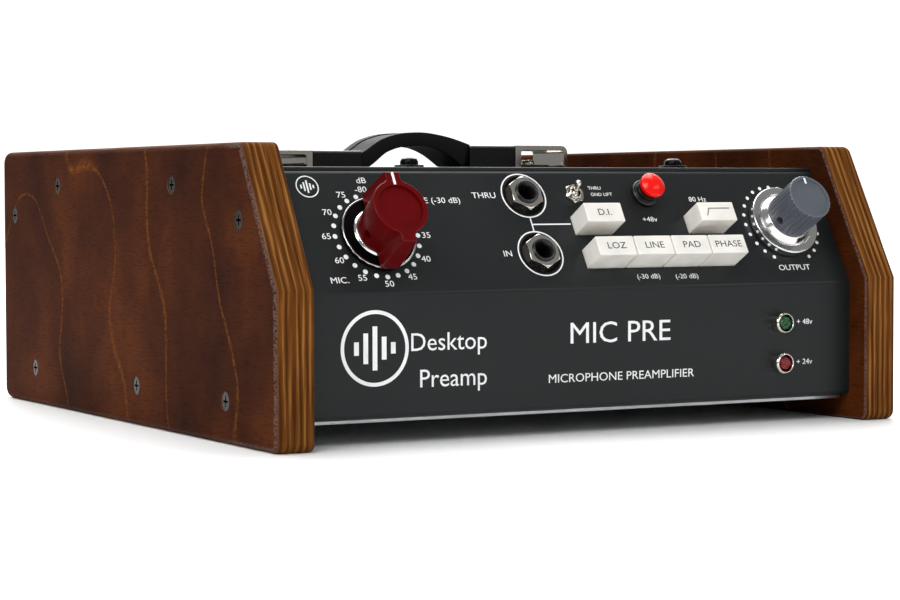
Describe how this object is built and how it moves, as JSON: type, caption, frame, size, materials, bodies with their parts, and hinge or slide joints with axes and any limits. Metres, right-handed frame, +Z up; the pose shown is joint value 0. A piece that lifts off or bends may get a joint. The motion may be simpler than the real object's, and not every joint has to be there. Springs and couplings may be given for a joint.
{
  "type": "microphone preamplifier",
  "caption": "Desktop microphone preamplifier with wooden side cheeks, a sloping control panel, rotary knobs, push buttons, jack sockets and a strap handle on top.",
  "frame": {"origin": "on the surface the cheeks stand on, midway between them and midway along their length", "axes": "+X to the right seen from the front, +Y from the control panel to the rear connectors, +Z up"},
  "size_m": [0.3, 0.319, 0.1281],
  "materials": {
    "walnut_ply": "satin",
    "charcoal_powder_coat": "satin",
    "zinc_steel": "satin",
    "black_steel": "satin",
    "nickel_plate": "polished",
    "strap_rubber": "satin",
    "sleeve_plastic": "gloss",
    "red_plastic": "gloss",
    "grey_plastic": "satin",
    "black_skirt": "satin",
    "bright_aluminium": "polished",
    "jack_plastic": "satin",
    "white_plastic": "gloss",
    "button_red": "gloss",
    "bushing_plastic": "satin",
    "green_lens": "gloss",
    "red_lens": "gloss",
    "switch_plastic": "matte",
    "circuit_board": "satin",
    "brass": "satin",
    "screening_can": "satin",
    "core_steel": "matte",
    "capacitor_sleeve": "satin",
    "black_anodised": "matte",
    "connector_metal": "satin",
    "white_ink": "matte",
    "dark_ink": "matte"
  },
  "bodies": {
    "chassis": {"cheek_left": "walnut_ply", "cheek_right": "walnut_ply", "cheek_screws": "black_steel", "front_panel": "charcoal_powder_coat", "top_cover": "charcoal_powder_coat", "bottom_tray": "zinc_steel", "rear_panel": "charcoal_powder_coat", "cover_screws": "black_steel", "cover_washers": "black_steel", "handle_strap": "strap_rubber", "handle_bracket_left": "nickel_plate", "handle_bracket_right": "nickel_plate", "handle_sleeve_left": "sleeve_plastic", "handle_sleeve_right": "sleeve_plastic", "handle_screws": "nickel_plate", "gain_switch": "switch_plastic", "gain_switch_nut": "nickel_plate", "output_pot": "zinc_steel", "output_pot_nut": "nickel_plate", "jack_thru": "jack_plastic", "jack_in": "jack_plastic", "jack_washers": "black_steel", "jack_nuts": "nickel_plate", "toggle_switch": "nickel_plate", "toggle_nut": "nickel_plate", "phantom_bushing": "bushing_plastic", "led_bezels": "nickel_plate", "led_lens_green": "green_lens", "led_lens_red": "red_lens", "switch_bank": "switch_plastic", "switch_board": "circuit_board", "switch_board_posts": "brass", "xlr_input": "connector_metal", "xlr_output": "connector_metal", "dc_socket": "nickel_plate", "connector_screws": "black_steel", "main_board": "circuit_board", "board_standoffs": "brass", "input_transformer": "screening_can", "output_transformer": "core_steel", "filter_capacitors": "capacitor_sleeve", "heatsink": "black_anodised"},
    "gain_control": {"gain_knob": "red_plastic", "gain_skirt": "black_skirt", "gain_collar": "bright_aluminium", "gain_grub_screw": "black_steel", "gain_shaft": "zinc_steel"},
    "output_control": {"output_knob": "grey_plastic", "output_skirt": "bright_aluminium", "output_grub_screw": "black_steel", "output_shaft": "zinc_steel"},
    "ground_lift_lever": {"toggle_lever": "nickel_plate"},
    "phantom_push": {"phantom_button": "button_red"},
    "microphone_latch": {"xlr_latch": "nickel_plate"},
    "loz_push": {"loz_button": "white_plastic"},
    "line_push": {"line_button": "white_plastic"},
    "pad_push": {"pad_button": "white_plastic"},
    "phase_push": {"phase_button": "white_plastic"},
    "di_push": {"di_button": "white_plastic"},
    "highpass_push": {"highpass_button": "white_plastic"}
  },
  "joints": [
    {"name": "gain_turn", "type": "hinge", "parent": "chassis", "child": "gain_control", "pos_m": [-0.0938, -0.13305, 0.08273], "axis": [0, -0.866, 0.5], "range_deg": [0, 270]},
    {"name": "output_turn", "type": "hinge", "parent": "chassis", "child": "output_control", "pos_m": [0.1064, -0.13135, 0.08568], "axis": [0, -0.866, 0.5], "range_deg": [-150, 150]},
    {"name": "ground_lift_flip", "type": "hinge", "parent": "chassis", "child": "ground_lift_lever", "pos_m": [0.004, -0.12454, 0.09907], "axis": [1, 0, 0], "range_deg": [0, 44]},
    {"name": "phantom_press", "type": "slide", "parent": "chassis", "child": "phantom_push", "axis": [0, 0.866, -0.5], "range_m": [0, 0.002]},
    {"name": "microphone_latch_press", "type": "slide", "parent": "chassis", "child": "microphone_latch", "axis": [0, -1, 0], "range_m": [0, 0.0014], "stiffness_N_per_m": 200, "springref_m": -0.001},
    {"name": "loz_press", "type": "slide", "parent": "chassis", "child": "loz_push", "axis": [0, 0.866, -0.5], "range_m": [0, 0.0035]},
    {"name": "line_press", "type": "slide", "parent": "chassis", "child": "line_push", "axis": [0, 0.866, -0.5], "range_m": [0, 0.0035]},
    {"name": "pad_press", "type": "slide", "parent": "chassis", "child": "pad_push", "axis": [0, 0.866, -0.5], "range_m": [0, 0.0035]},
    {"name": "phase_press", "type": "slide", "parent": "chassis", "child": "phase_push", "axis": [0, 0.866, -0.5], "range_m": [0, 0.0035]},
    {"name": "di_press", "type": "slide", "parent": "chassis", "child": "di_push", "axis": [0, 0.866, -0.5], "range_m": [0, 0.0035]},
    {"name": "highpass_press", "type": "slide", "parent": "chassis", "child": "highpass_push", "axis": [0, 0.866, -0.5], "range_m": [0, 0.0035]}
  ]
}
